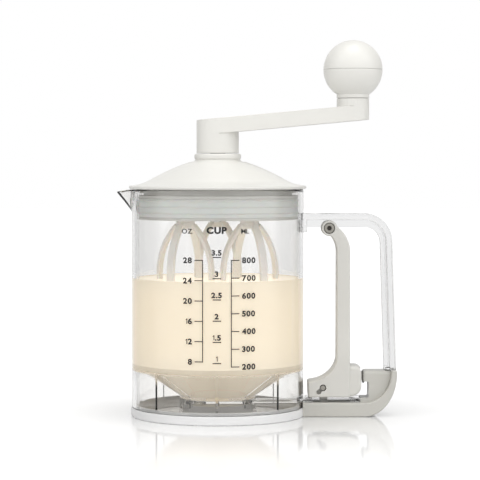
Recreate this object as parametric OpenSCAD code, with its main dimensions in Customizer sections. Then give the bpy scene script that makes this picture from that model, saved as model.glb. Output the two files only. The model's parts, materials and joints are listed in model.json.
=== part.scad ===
// Hand-cranked batter mixer. A clear measuring jar carries a geared lid that turns
// three whisks, and a trigger in the handle pulls a slide valve in the base.
// Millimetres. The jar's axis is Z, the table is z = 0 and the handle points along +X.

/* [Jar] */
// Outer radius of the clear jar
jar_r = 56.2; // [55.5:0.1:57]
// Thickness of the jar wall
jar_wall = 2.6; // [2.2:0.1:2.8]
// Height of the jar's rim above the table
jar_top = 148.3; // [147:0.1:152]
// Height at which the funnel floor leaves the wall
funnel_top = 35; // [33:0.5:37]
// Height of the ring that the jar stands on
ring_h = 5.8; // [5:0.1:6.2]
// Number of gussets under the funnel floor
gusset_count = 8; // [4:4:12]
// How far the spout stands out from the wall
spout_reach = 10.1; // [8:0.1:12]

/* [Lid] */
// Height of the drum that hangs in the jar and holds the gears
drum_h = 15.7; // [15:0.1:16.5]
// Height of the dome above the jar's rim
dome_h = 19.1; // [18:0.1:21]
// Outer radius of the collar that carries the crank
collar_r = 15.3; // [14.5:0.1:16]
// Height of the collar
collar_h = 4.3; // [3.5:0.1:6]

/* [Crank] */
// Distance from the jar's axis to the knob's axis
crank_reach = 88.4; // [80:0.1:95]
// Upward slope of the arm, in degrees
arm_slope = 5.2; // [3:0.1:6]
// Vertical thickness of the arm
arm_t = 10; // [8:0.1:11]
// Radius of the crank's hub
hub_r = 13.85; // [13:0.05:14.5]
// Radius of the post under the knob
post_r = 10.6; // [9.5:0.1:12]
// Radius of the ball knob
knob_r = 19.3; // [18:0.1:21]

/* [Whisks] */
// Largest radius of a whisk
whisk_r = 20.3; // [17:0.1:20.4]
// Height of a whisk's lowest point above the table
whisk_low = 25; // [24:0.5:34]
// Width of a whisk's strip, across
strip_w = 5.2; // [4:0.1:6]
// Thickness of a whisk's strip
strip_t = 2.4; // [1.8:0.1:2.8]

/* [Gears] */
// Width of the gears
gear_w = 6; // [4:0.5:7]

/* [Handle] */
// Height of the handle's top edge
handle_top = 132.8; // [130:0.1:136]
// Width of the handle's outer strip
handle_w = 20; // [16:0.5:22]
// Thickness of the handle's inner rib
rib_w = 5.2; // [4:0.1:5.4]
// Width of the handle's base housing
base_w = 25; // [24:0.5:28]

/* [Trigger] */
// Angle that the trigger swings through, in degrees
trigger_swing = 6.9; // [4:0.1:7]
// Width of the trigger's stem
stem_w = 18; // [16:0.5:20]
// Width of the trigger's foot
foot_w = 21; // [21:0.5:22]

/* [Valve] */
// Radius of the batter outlet
outlet_r = 5; // [4:0.1:5.2]
// Width of the slide where it closes the outlet
slide_w = 21; // [19:0.5:21]

/* [Hidden] */

$fn = 72;
arc_steps = 14;
gap = 0.15;             // clearance between pieces that only lie close
run = 0.05;             // radial clearance of a running fit

// jar and valve levels
jar_in = jar_r - jar_wall;
ring_r = jar_r + 0.6;
floor_t = 2.2;
tower_r = 25.5;
tower_wall = 2.2;
outlet_z = 12;          // underside of the jar's floor at the outlet
floor_bend_z = 16.5;    // where the steep cone of the floor meets the flat one
nozzle_screw_ring = 16.5;
nozzle_screw_angles = [90, 270];
slide_z = 8.5;
slide_t = 2.2;
slide_top = slide_z + slide_t;
strip_half = 5;         // half the width of the slide's long strip

// lid levels
drum_low = jar_top - drum_h - 3.8;
drum_top = jar_top - 3.8;
drum_r = jar_in - 1.5;
drum_wall = 2;
ceiling_z = drum_top - 2;
plate_top = drum_top + 2;
neck_r = drum_r - 3.5;
dome_r = jar_r + 1.8;
collar_z = jar_top + dome_h - 0.2;
collar_top = collar_z + collar_h;
shaft_r = 5;
journal_r = 4;

// crank levels
hub_low = collar_top + 0.3;
arm_low = jar_top + 36.4;
post_top = jar_top + 59.2;
knob_z = post_top + 18.8;
spindle_r = 4;

// gears: the drive gear has a multiple of three teeth and a pinion an odd number
drive_teeth = 33;
pinion_teeth = 15;
gear_module = 1;
gear_z = drum_low + 5.4;
drive_pitch = drive_teeth * gear_module / 2;
pinion_pitch = pinion_teeth * gear_module / 2;
whisk_ring = drive_pitch + pinion_pitch;
whisk_spindle_r = 3;
whisk_angles = [90, 210, 330];
whisk_phases = [45, 33, 57];    // how far each whisk is turned from its own radius
dome_screw_ring = 38;
floor_screw_ring = 42;
floor_screw_angles = [for (a = whisk_angles) a + 60];

// handle
corner_r = 18.5;
strip_in = 4.2;         // thickness of the handle's outer strip
rib_top_in = 9.4;       // depth of strip and rib under the top edge
rib_leg_in = 7.9;       // depth of strip and rib along the leg
corner_x = 95.4;
leg_lean = 2.7;         // how far the leg leans out on its way down
leg_low = 30.5;
leg_x = corner_x + corner_r + leg_lean;
loop_screw_x = leg_x - 4.9;
loop_screw_z = 23.5;

// base housing
base_round_x = 95.7;
base_round_rx = 21.3;
base_round_rz = 28.5;
bar_top = 9.3;
base_screw_x = [62.5, 89.5];
block_w = 16.4;
block_left = 94.6;
block_top = 29.8;
notch_x = 98.6;
notch_z = 22.8;
ledge_x = 93.2;
ledge_z = 12.1;

// trigger
pivot_x = 72.8;
pivot_z = handle_top - 9.8;
pivot_r = 2.45;
boss_r = 5.1;
stem_left = 77.6;
stem_right = 86.4;
peg_x = 68.7;
peg_z = 18.9;
peg_r = 1.6;
foot_low = 12.6;
slide_travel = (pivot_z - peg_z) * sin(trigger_swing);
spring_z = 24.6;
spring_r = 3.2;
wire_r = 0.45;

white = [0.93, 0.93, 0.90];
pale_grey = [0.84, 0.84, 0.81];
clear = [0.85, 0.92, 0.95, 0.35];
frosted = [0.88, 0.90, 0.91, 0.7];
nylon = [0.80, 0.80, 0.78];
steel = [0.62, 0.63, 0.65];
silicone = [0.90, 0.90, 0.88];

// ---------- outlines and small shapes ----------

function arc(cx, cz, r, a0, a1, n = arc_steps) = oval(cx, cz, r, r, a0, a1, n);

function oval(cx, cz, rx, rz, a0, a1, n = arc_steps) =
    [for (i = [0:n]) let (a = a0 + (a1 - a0) * i / n) [cx + rx * cos(a), cz + rz * sin(a)]];

function curve(p0, p1, p2, n = 8) =
    [for (i = [0:n]) let (t = i / n) (1 - t) * (1 - t) * p0 + 2 * t * (1 - t) * p1 + t * t * p2];

function reversed(points) = [for (i = [len(points) - 1:-1:0]) points[i]];

function tail(points) = [for (i = [1:len(points) - 1]) points[i]];

// an outline in X and Z, made a plate that is centred across Y
module plate(points, width) {
    rotate([90, 0, 0])
        linear_extrude(height = width, center = true)
            polygon(points);
}

module lathe(points) {
    rotate_extrude()
        polygon(points);
}

module rod_y(x, z, r, y0, y1) {
    translate([x, y1, z])
        rotate([90, 0, 0])
            cylinder(h = y1 - y0, r = r);
}

module rod_x(z, r, x0, x1) {
    translate([x0, 0, z])
        rotate([0, 90, 0])
            cylinder(h = x1 - x0, r = r);
}

module rod_z(r, z0, z1) {
    translate([0, 0, z0])
        cylinder(h = z1 - z0, r = r);
}

module tube_z(r_out, r_in, z0, z1) {
    lathe([[r_in, z0], [r_out, z0], [r_out, z1], [r_in, z1]]);
}

module box_between(low, high) {
    translate(low)
        cube(high - low);
}

module around(r, angles) {
    for (a = angles) {
        rotate([0, 0, a])
            translate([r, 0, 0])
                children();
    }
}

// pan head screw with its head's underside at z = 0, the head above and the shank below
module screw(shank_r, length, head_r, head_h) {
    difference() {
        union() {
            rod_z(shank_r, -length, 0.2);
            rod_z(head_r, 0, head_h);
        }
        translate([0, 0, head_h / 2 + head_h])
            cube([head_r * 1.3, head_h * 0.3, head_h * 2], center = true);
    }
}

// ---------- jar ----------

// where the slide passes through the jar's walls
module slide_way() {
    box_between([10, -slide_w / 2 - 0.4, slide_z - 0.4], [37, slide_w / 2 + 0.4, slide_top + 0.4]);
    box_between([36, -strip_half - 0.6, slide_z - 0.4], [jar_r + 4, strip_half + 0.6, slide_top + 0.4]);
}

module jar_body() {
    under = floor_t + 0.5;
    lathe([
        [jar_r, ring_h], [jar_r, jar_top], [jar_in, jar_top], [jar_in, funnel_top],
        [tower_r - 0.5, floor_bend_z], [outlet_r, outlet_z + floor_t], [outlet_r, outlet_z],
        [tower_r, outlet_z], [tower_r, floor_bend_z - under], [jar_in, funnel_top - under], [jar_in, ring_h]
    ]);
    tube_z(tower_r - 0.1, tower_r - tower_wall, 2, outlet_z + 1);
    around(nozzle_screw_ring, nozzle_screw_angles)
        rod_z(3.2, slide_z - 0.2, outlet_z + 1);
}

module jar_gussets() {
    inner = tower_r - 1;
    outer = jar_in + 1;
    for (i = [0:gusset_count - 1]) {
        rotate([0, 0, i * 360 / gusset_count])
            plate([
                [inner, ring_h + 0.8], [outer, ring_h + 0.8],
                [outer, funnel_top - 1], [inner, 14.6]
            ], 1.6);
    }
}

// a wedge that is wide at the wall and comes to a point at the lip
module spout_wedge(inset, top) {
    tip_x = jar_r + spout_reach - inset * 2.2;
    side = 14 - inset;
    root = jar_in - 1;
    low = jar_top - 14.5 + inset * 1.6;
    polyhedron(
        points = [[-tip_x, 0, top], [-root, side, top], [-root, -side, top],
                  [-root, 0, low], [-tip_x, 0, top - 1.2]],
        faces = [[0, 2, 1], [0, 1, 4], [1, 3, 4], [0, 4, 2], [2, 4, 3], [1, 2, 3]]
    );
}

module jar() {
    color(clear)
        difference() {
            union() {
                jar_body();
                jar_gussets();
                difference() {
                    spout_wedge(0, jar_top);
                    rod_z(jar_in + 0.6, 0, jar_top + 1);
                }
            }
            spout_wedge(1.6, jar_top + 0.5);
            slide_way();
            around(nozzle_screw_ring, nozzle_screw_angles)
                rod_z(1.1, 0, slide_z + 3);
        }
}

module base_ring() {
    color(frosted)
        difference() {
            lathe([
                [jar_in - 2, 0], [ring_r - 0.8, 0], [ring_r, 0.8], [ring_r, ring_h - 0.4],
                [ring_r - 0.4, ring_h], [jar_in - gap, ring_h], [jar_in - gap, ring_h + 2],
                [jar_in - 2, ring_h + 2]
            ]);
            box_between([jar_in - 5, -8.1, 1], [ring_r + 2, 8.1, 5]);
            for (i = [0:gusset_count - 1]) {
                rotate([0, 0, i * 360 / gusset_count])
                    box_between([jar_in - 4, -1, ring_h + 0.5], [jar_in + 1, 1, ring_h + 4]);
            }
        }
}

module outlet_gasket() {
    color(silicone)
        tube_z(outlet_r + 2.2, outlet_r + 0.2, slide_top + gap, outlet_z);
}

module outlet_nozzle() {
    color(frosted)
        difference() {
            lathe([
                [outlet_r, 2.4], [outlet_r + 2, 2.4], [outlet_r + 2.5, 4], [21, 4],
                [21, 3], [tower_r - tower_wall - gap, 3],
                [tower_r - tower_wall - gap, slide_z - 0.2], [outlet_r, slide_z - 0.2]
            ]);
            around(nozzle_screw_ring, nozzle_screw_angles)
                rod_z(1.3, 0, slide_z + 1);
        }
}

module nozzle_screws() {
    color(steel)
        around(nozzle_screw_ring, nozzle_screw_angles)
            translate([0, 0, 4])
                mirror([0, 0, 1])
                    screw(1.1, 6.5, 2.4, 1.3);
}

// ---------- handle ----------

// the handle's line at a depth under its outer edge, from the jar to the base
function loop_line(top_in, leg_in, radius) = concat(
    [[jar_r - 3, handle_top - top_in]],
    arc(corner_x + corner_r - leg_in - radius, handle_top - top_in - radius, radius, 90, 0),
    [[corner_x + corner_r - leg_in + leg_lean, leg_low]]
);

module handle_loop() {
    edge = loop_line(0, 0, corner_r);
    strip_line = loop_line(strip_in, strip_in, corner_r - strip_in);
    root_line = loop_line(strip_in - 0.8, strip_in - 0.8, corner_r - strip_in + 0.8);
    rib_line = loop_line(rib_top_in, rib_leg_in, 9.2);
    color(clear)
        difference() {
            union() {
                plate(concat(edge, reversed(strip_line)), handle_w);
                plate(concat(root_line, reversed(rib_line)), rib_w);
                box_between([jar_r - 3, -handle_w / 2, handle_top - 12.5],
                            [jar_r + 2, handle_w / 2, handle_top - 1]);
                rod_y(pivot_x, pivot_z, boss_r + 0.2, -rib_w / 2, rib_w / 2);
                box_between([leg_x - 7, -6.5, 18.2], [leg_x - 2.8, 6.5, leg_low + 1.5]);
            }
            rod_z(jar_r + 0.02, 100, handle_top + 5);
            rod_y(pivot_x, pivot_z, pivot_r, -10, 10);
            rod_y(loop_screw_x, loop_screw_z, 1.25, -10, 10);
        }
}

module handle_base() {
    outer = oval(base_round_x, base_round_rz, base_round_rx, base_round_rz, -90, 0);
    inner = oval(base_round_x, base_round_rz, base_round_rx - 3.8, base_round_rz - bar_top, 0, -90);
    color(pale_grey)
        difference() {
            union() {
                plate(concat([[jar_r - 2, 0]], outer, [[leg_x + 0.1, leg_low]],
                             [[leg_x - 3.4, leg_low]], inner, [[jar_r - 2, bar_top]]), base_w);
                plate([[ledge_x, 7], [ledge_x, ledge_z], [notch_x, ledge_z], [notch_x, notch_z],
                       [block_left, notch_z], [block_left, block_top], [leg_x - 2.3, block_top],
                       [leg_x - 2.3, 24], [108, 10], [104, 7]], block_w);
                box_between([jar_r - 5.5, -8, 1.2], [jar_r + 4, 8, 4.8]);
            }
            difference() {
                rod_z(ring_r + 0.05, -1, bar_top + 3);
                box_between([jar_r - 6, -8, 1.2], [jar_r + 4, 8, 4.8]);
            }
            box_between([jar_r - 4, -strip_half - 0.3, slide_z - 0.3],
                        [105, strip_half + 0.3, slide_top + 0.3]);
            rod_x(spring_z, spring_r + 1, block_left - 1, 107.5);
            box_between([leg_x - 7.1, -6.6, 18], [leg_x - 2.7, 6.6, leg_low + 1]);
            rod_y(loop_screw_x, loop_screw_z, 1.25, -6.5, base_w);
            rod_y(loop_screw_x, loop_screw_z, 2.7, block_w / 2 - 1.6, base_w);
            box_between([60, -9, -1], [92, 9, 2]);
            box_between([65, -9, 1.9], [87, 9, 6.4]);
            for (x = base_screw_x) {
                translate([x, 0, 0])
                    rod_z(1.1, 1, 7);
            }
        }
}

module base_cover() {
    color(pale_grey)
        difference() {
            box_between([60.1, -8.9, 0.3], [91.9, 8.9, 1.95]);
            for (x = base_screw_x) {
                translate([x, 0, 0])
                    rod_z(1.2, -1, 3);
                translate([x, 0, 0])
                    rod_z(2.5, -1, 1.3);
            }
        }
}

module base_screws() {
    color(steel)
        for (x = base_screw_x) {
            translate([x, 0, 1.3])
                mirror([0, 0, 1])
                    screw(1.1, 5, 2.2, 0.9);
        }
}

module handle_screw() {
    color(steel)
        translate([loop_screw_x, block_w / 2 - 1.6, loop_screw_z])
            rotate([-90, 0, 0])
                screw(1.25, 12.9, 2.4, 1.3);
}

module slide_guides() {
    color(clear)
        for (span = [[ring_r + 0.4, 62], [86.6, ledge_x - 0.1]]) {
            difference() {
                box_between([span[0], -8, bar_top], [span[1], 8, ledge_z - 0.1]);
                box_between([span[0] - 1, -strip_half - 0.3, bar_top - 1],
                            [span[1] + 1, strip_half + 0.3, slide_top + 0.25]);
            }
        }
}

module pivot_screw() {
    color(steel)
        difference() {
            union() {
                rod_y(pivot_x, pivot_z, pivot_r, -stem_w / 2 + 2, stem_w / 2 - 0.6);
                rod_y(pivot_x, pivot_z, 3.4, -stem_w / 2 + 0.3, -stem_w / 2 + 2.1);
            }
            translate([pivot_x, -stem_w / 2 + 1.5, pivot_z])
                rotate([90, 0, 0])
                    cylinder(h = 3, r = 1.7, $fn = 6);
        }
}

module pivot_nut() {
    color(steel)
        difference() {
            translate([pivot_x, stem_w / 2 - 0.3, pivot_z])
                rotate([90, 0, 0])
                    cylinder(h = 1.8, r = 3.4, $fn = 6);
            rod_y(pivot_x, pivot_z, pivot_r, 0, stem_w);
        }
}

// a coil spring along X between the trigger and the housing's pocket
module return_spring() {
    x0 = 81.9;
    x1 = 106.9;
    turns = 7;
    steps = turns * 16;
    sides = 6;
    points = [
        for (i = [0:steps])
            for (k = [0:sides - 1])
                let (
                    a = i * 360 * turns / steps,
                    b = k * 360 / sides,
                    r = spring_r + wire_r * cos(b)
                )
                [x0 + (x1 - x0) * i / steps + wire_r * sin(b), r * cos(a), spring_z + r * sin(a)]
    ];
    walls = [
        for (i = [0:steps - 1])
            for (k = [0:sides - 1])
                let (n = (k + 1) % sides)
                [i * sides + k, i * sides + n, (i + 1) * sides + n, (i + 1) * sides + k]
    ];
    start = [for (k = [sides - 1:-1:0]) k];
    end = [for (k = [0:sides - 1]) steps * sides + k];
    color(steel)
        polyhedron(points = points, faces = concat([start], walls, [end]), convexity = 6);
}

// ---------- trigger ----------

module trigger_neck() {
    neck_z = 107.6;
    left = arc(stem_left - 15.5, neck_z, 15.5, 0, 50);
    right = arc(stem_right - 20.2, neck_z, 20.2, 72, 0);
    plate(concat([[stem_left, 30]], left, right, [[stem_right, 30]]), stem_w);
    rod_y(pivot_x, pivot_z, boss_r, -stem_w / 2, stem_w / 2);
}

module trigger_foot() {
    plate(concat(
        [[59.2, foot_low]], [[58.8, 22.6]],
        oval(58.8, 39.5, stem_left - 58.8, 16.5, -84, -2),
        [[stem_right - 0.5, 40], [stem_right - 0.3, 33.3]],
        arc(block_left - 5, 33.3 - 5, 5, 90, 0),
        arc(block_left - 7.4, foot_low + 7.4, 7.4, 0, -90)
    ), foot_w);
}

module trigger() {
    color(pale_grey)
        difference() {
            union() {
                trigger_neck();
                trigger_foot();
            }
            box_between([60, -rib_w / 2 - 0.4, pivot_z - boss_r - 1.4],
                        [92, rib_w / 2 + 0.4, handle_top]);
            rod_y(pivot_x, pivot_z, pivot_r + run, -stem_w, stem_w);
            rod_y(pivot_x, pivot_z, 3.7, -stem_w, -stem_w / 2 + 2.3);
            rod_y(pivot_x, pivot_z, 3.7, stem_w / 2 - 2.3, stem_w);
            box_between([63.5, -5, foot_low - 2], [75.5, 5, 21.8]);
            box_between([81, -block_w / 2 - 0.6, foot_low - 2], [block_left + 3, block_w / 2 + 0.6, 31.3]);
            rod_y(peg_x, peg_z, peg_r + 0.6, -foot_w, foot_w);
            rod_y(peg_x - 2.7, peg_z - 2.7, peg_r, -foot_w, -6);
            translate([peg_x - 1.35, -foot_w / 2, peg_z - 1.35])
                rotate([0, 45, 0])
                    cube([2.4, 8, 4], center = true);
        }
}

// ---------- valve slide ----------

module valve_slide() {
    far = -outlet_r - slide_travel - 3;
    color(clear)
        difference() {
            union() {
                box_between([far, -slide_w / 2, slide_z], [20, slide_w / 2, slide_top]);
                box_between([19, -strip_half, slide_z], [90, strip_half, slide_top]);
            }
            translate([-slide_travel, 0, 0])
                rod_z(outlet_r, 0, 20);
            box_between([66.9, -3, slide_z - 1], [72, 3, slide_top + 1]);
        }
}

module slide_lug() {
    color(pale_grey)
        difference() {
            union() {
                box_between([66.95, -2.95, slide_z], [71.95, 2.95, slide_top + 0.5]);
                box_between([66.95, -4.2, slide_top + 0.05], [71.95, 4.2, 21]);
            }
            rod_y(peg_x, peg_z, peg_r, -10, 10);
        }
}

module slide_peg() {
    color(steel)
        rod_y(peg_x, peg_z, peg_r - 0.02, -foot_w / 2 + 0.5, foot_w / 2 - 0.5);
}

// ---------- lid ----------

// the dome's line, pushed down by an amount
function dome_line(drop) = concat(
    curve([14.3, dome_h], [30, dome_h - 4.7], [45, 5.8]),
    tail(curve([45, 5.8], [50, 2.95], [dome_r, 2.3]))
) + [for (i = [0:16]) [0, jar_top - drop]];

module lid_dome() {
    skin = 2.2;
    shaft_hole = 11;
    inner = [for (p = dome_line(skin)) if (p[0] < neck_r + 1) p];
    color(white)
        difference() {
            union() {
                lathe(concat(
                    [[shaft_hole, jar_top + dome_h + 0.9]], dome_line(0),
                    [[dome_r, jar_top + 0.9], [dome_r - 0.9, jar_top + gap], [neck_r + 0.6, jar_top + gap]],
                    reversed(inner), [[shaft_hole, jar_top + dome_h - skin + 0.9]]
                ));
                intersection() {
                    around(dome_screw_ring, whisk_angles)
                        rod_z(3.5, plate_top, jar_top + dome_h);
                    lathe(concat([[14, 0]], dome_line(1), [[dome_r, 0]]));
                }
            }
            around(dome_screw_ring, whisk_angles)
                rod_z(1.1, plate_top - 1, plate_top + 6);
            rod_z(collar_r + 0.05, collar_z, collar_z + 10);
        }
}

module lid_collar() {
    color(white)
        lathe([
            [shaft_r + run, jar_top + 5], [9, jar_top + 5], [9, jar_top + dome_h - 4],
            [10.9, jar_top + dome_h - 4], [10.9, collar_z], [collar_r, collar_z],
            [collar_r, collar_top - 0.6], [collar_r - 0.6, collar_top], [shaft_r + run, collar_top]
        ]);
}

module gear_housing() {
    color(white)
        difference() {
            union() {
                lathe([
                    [drum_r - drum_wall, drum_low], [drum_r + 0.5, drum_low],
                    [drum_r + 0.5, drum_low + 1.4],
                    [drum_r, drum_low + 1.6], [drum_r, ceiling_z], [drum_r + 0.5, ceiling_z + 0.2],
                    [drum_r + 0.5, drum_top], [neck_r, drum_top], [neck_r, jar_top + 1.4],
                    [neck_r - 2.2, jar_top + 1.4], [neck_r - 2.2, plate_top], [shaft_r + 1, plate_top],
                    [shaft_r + 1, ceiling_z], [drum_r - drum_wall, ceiling_z]
                ]);
                around(floor_screw_ring, floor_screw_angles)
                    rod_z(3.5, drum_low + 2.8, ceiling_z + 1);
            }
            around(floor_screw_ring, floor_screw_angles)
                rod_z(1.1, drum_low, ceiling_z - 1);
            around(dome_screw_ring, whisk_angles)
                rod_z(1.3, drum_low, plate_top + 1);
            around(whisk_ring, whisk_angles)
                rod_z(2.5 + run, ceiling_z - 1, ceiling_z + 2.6);
        }
}

module housing_screws() {
    color(steel)
        around(dome_screw_ring, whisk_angles)
            translate([0, 0, ceiling_z])
                mirror([0, 0, 1])
                    screw(1.1, 9, 2.4, 1.4);
}

module lid_gasket() {
    lip_r = jar_in - gap;
    base_r = drum_r + 0.6;
    low = drum_low + 2;
    color(silicone)
        lathe([
            [drum_r, low], [base_r, low], [base_r, low + 2], [lip_r, low + 3], [base_r, low + 3.6],
            [base_r, low + 6], [lip_r, low + 7], [base_r, low + 7.6], [base_r, low + 9.4],
            [lip_r, low + 10.6], [base_r, low + 11.3], [drum_r, low + 11.3]
        ]);
}

module gear_floor() {
    floor_r = drum_r - drum_wall - 0.1;
    color(white)
        difference() {
            tube_z(floor_r, 5.5, drum_low + 0.5, drum_low + 2.8);
            around(whisk_ring, whisk_angles)
                rod_z(4.6, drum_low, drum_low + 4);
            around(floor_screw_ring, floor_screw_angles)
                rod_z(1.3, drum_low, drum_low + 4);
        }
}

module floor_screws() {
    color(steel)
        around(floor_screw_ring, floor_screw_angles)
            translate([0, 0, drum_low + 0.5])
                mirror([0, 0, 1])
                    screw(1.1, 9, 2.4, 1.2);
}

module flanged_bush(bore_r, body_r) {
    lathe([
        [bore_r, drum_low + 0.2], [body_r, drum_low + 0.2], [body_r, drum_low + 2.85],
        [body_r + 1.2, drum_low + 2.85], [body_r + 1.2, drum_low + 3.7], [bore_r, drum_low + 3.7]
    ]);
}

module spindle_bushes() {
    color(nylon)
        around(whisk_ring, whisk_angles)
            flanged_bush(whisk_spindle_r + run, 4.55);
}

module shaft_bush() {
    color(nylon)
        flanged_bush(journal_r + run, 5.45);
}

// ---------- crank ----------

function arm_under(x) = arm_low + x * tan(arm_slope);

// the arm seen from above: a round end on the hub, a smaller one under the post
module arm_plan() {
    tangent = acos((hub_r - post_r) / crank_reach);
    polygon(concat(
        arc(0, 0, hub_r, tangent, 360 - tangent, 48),
        arc(crank_reach, 0, post_r, -tangent, tangent, 36)
    ));
}

module arm_beam() {
    near = -hub_r - 10;
    far = crank_reach + post_r + 10;
    intersection() {
        linear_extrude(height = 400)
            arm_plan();
        plate([[near, arm_under(near)], [far, arm_under(far)],
               [far, arm_under(far) + arm_t], [near, arm_under(near) + arm_t]], 60);
    }
}

module crank_arm() {
    shaft_top = arm_low - 0.6;
    color(white)
        difference() {
            union() {
                arm_beam();
                rod_z(hub_r - 0.12, hub_low, arm_low + arm_t / 2);
                translate([crank_reach, 0, 0])
                    rod_z(post_r - 0.12, arm_under(crank_reach) + arm_t / 2, post_top);
            }
            rod_z(shaft_r, hub_low - 1, shaft_top);
            rod_y(0, hub_low + 6, 1.5, -hub_r + 2, hub_r - 2);
            translate([crank_reach, 0, 0])
                rod_z(spindle_r - 0.5, post_top - 14, post_top + 1);
        }
}

module drive_shaft() {
    clip_z = jar_top + 3.7;
    color(steel)
        difference() {
            lathe([
                [0, drum_low + 0.3], [journal_r, drum_low + 0.3], [journal_r, gear_z - 1],
                [shaft_r, gear_z - 1], [shaft_r, clip_z], [shaft_r - 0.7, clip_z],
                [shaft_r - 0.7, clip_z + 1.1], [shaft_r, clip_z + 1.1],
                [shaft_r, arm_low - 0.7], [0, arm_low - 0.7]
            ]);
            rod_y(0, hub_low + 6, 1.5, -hub_r, hub_r);
        }
}

module crank_pin() {
    color(steel)
        rod_y(0, hub_low + 6, 1.48, -hub_r + 2.2, hub_r - 2.2);
}

module shaft_clip() {
    color(steel)
        difference() {
            tube_z(8, shaft_r - 0.65, jar_top + 3.75, jar_top + 4.75);
            box_between([0, -3, jar_top], [12, 3, jar_top + 8]);
        }
}

module knob_spindle() {
    boss_top = knob_z - 9;
    color(steel)
        translate([crank_reach, 0, 0])
            lathe([
                [0, post_top - 13.8], [spindle_r - 0.5, post_top - 13.8],
                [spindle_r - 0.5, post_top + 0.05],
                [spindle_r, post_top + 0.05], [spindle_r, boss_top + 1.3], [6, boss_top + 1.3],
                [6, boss_top + 2.6], [5.4, boss_top + 3.2], [0, boss_top + 3.2]
            ]);
}

module knob_lower() {
    skin = 2.4;
    low = post_top + 0.2;
    color(white)
        translate([crank_reach, 0, 0])
            difference() {
                union() {
                    difference() {
                        translate([0, 0, knob_z])
                            sphere(r = knob_r);
                        translate([0, 0, knob_z])
                            sphere(r = knob_r - skin);
                        rod_z(knob_r + 1, knob_z - 0.05, knob_z + knob_r + 1);
                        rod_z(post_r, low - 3, low);
                    }
                    tube_z(post_r + 0.1, spindle_r - 1, low, low + 4);
                    tube_z(7.5, spindle_r - 1, low + 1, knob_z - 9);
                }
                rod_z(spindle_r + run, low - 1, knob_z);
            }
}

module knob_washer() {
    color(nylon)
        translate([crank_reach, 0, 0])
            tube_z(6.6, spindle_r + run, knob_z - 8.9, knob_z - 7.9);
}

module knob_upper() {
    skin = 2.4;
    color(white)
        translate([crank_reach, 0, 0])
            union() {
                difference() {
                    translate([0, 0, knob_z])
                        sphere(r = knob_r);
                    translate([0, 0, knob_z])
                        sphere(r = knob_r - skin);
                    rod_z(knob_r + 1, knob_z - knob_r - 1, knob_z + 0.05);
                }
                tube_z(knob_r - skin - 0.1 + 0.5, knob_r - skin - 1.5, knob_z + 0.5, knob_z + 3);
                tube_z(knob_r - skin - 0.4, knob_r - skin - 1.5, knob_z - 2, knob_z + 1);
            }
}

// ---------- gears and whisks ----------

function roll(base, r) = let (c = min(1, base / r)) tan(acos(c)) * 180 / PI - acos(c);

function tooth_half(teeth, r) =
    let (
        pitch = teeth * gear_module / 2,
        base = pitch * cos(20),
        slack = 0.1 / pitch * 180 / PI
    )
    90 / teeth - slack + roll(base, pitch) - roll(base, max(base, r));

function gear_outline(teeth) =
    let (
        pitch = teeth * gear_module / 2,
        root = pitch - 1.15 * gear_module,
        tip = pitch + 0.85 * gear_module,
        flank = [for (i = [0:5]) root + (tip - root) * i / 5]
    )
    [
        for (i = [0:teeth - 1])
            for (side = [-1, 1])
                for (k = [0:5])
                    let (
                        r = side < 0 ? flank[k] : flank[5 - k],
                        a = i * 360 / teeth + side * tooth_half(teeth, r)
                    )
                    [r * cos(a), r * sin(a)]
    ];

module gear(teeth, bore_r) {
    difference() {
        linear_extrude(height = gear_w)
            polygon(gear_outline(teeth));
        translate([0, 0, -1])
            cylinder(h = gear_w + 2, r = bore_r);
    }
}

module drive_gear() {
    color(nylon)
        translate([0, 0, gear_z])
            rotate([0, 0, whisk_angles[0]])
                gear(drive_teeth, shaft_r);
}

// a pinion and the spindle that carries its whisk
module pinion(index) {
    spindle = [
        [0, drum_low - 3.6], [whisk_spindle_r, drum_low - 3.6], [whisk_spindle_r, gear_z - 1.6],
        [4.6, gear_z - 1.6], [4.6, gear_z + gear_w + 1.2], [2.5, gear_z + gear_w + 1.2],
        [2.5, ceiling_z + 2.2], [0, ceiling_z + 2.2]
    ];
    color(nylon)
        around(whisk_ring, [whisk_angles[index]])
            union() {
                lathe(spindle);
                translate([0, 0, gear_z])
                    gear(pinion_teeth, 4);
            }
}

module pinion_1() {
    pinion(0);
}

module pinion_2() {
    pinion(1);
}

module pinion_3() {
    pinion(2);
}

// one side of a whisk's loop, at a distance outside the strip's middle line
function loop_side(out) =
    let (
        mid = whisk_r - strip_t / 2,
        top_z = drum_low - 5.3,
        shoulder_z = top_z - 29.5,
        bend = 43.6,
        lean = asin(29.5 / bend),
        belly = 22
    )
    concat(
        arc(mid - bend, shoulder_z, bend + out, lean, 0, 10),
        oval(0, whisk_low + strip_t / 2 + belly, mid + out, belly + out, 0, -90, 10)
    );

module whisk_loop(out) {
    side = loop_side(out);
    other = [for (p = reversed(side)) if (p[0] > 0.01) [-p[0], p[1]]];
    polygon(concat(side, other));
}

module whisk_strip() {
    rotate([90, 0, 0])
        linear_extrude(height = strip_w, center = true)
            difference() {
                whisk_loop(strip_t / 2);
                whisk_loop(-strip_t / 2);
            }
}

module whisk_hub() {
    side = 10.5;
    low = drum_low - 5.3;
    groove = drum_low - 1.8;
    high = drum_low - 0.2;
    blocks = [[side, low, groove], [side - 0.8, groove - 0.1, groove + 0.4], [side, groove + 0.3, high]];
    for (part = blocks) {
        box_between([-part[0] / 2, -part[0] / 2, part[1]], [part[0] / 2, part[0] / 2, part[2]]);
    }
}

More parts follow.
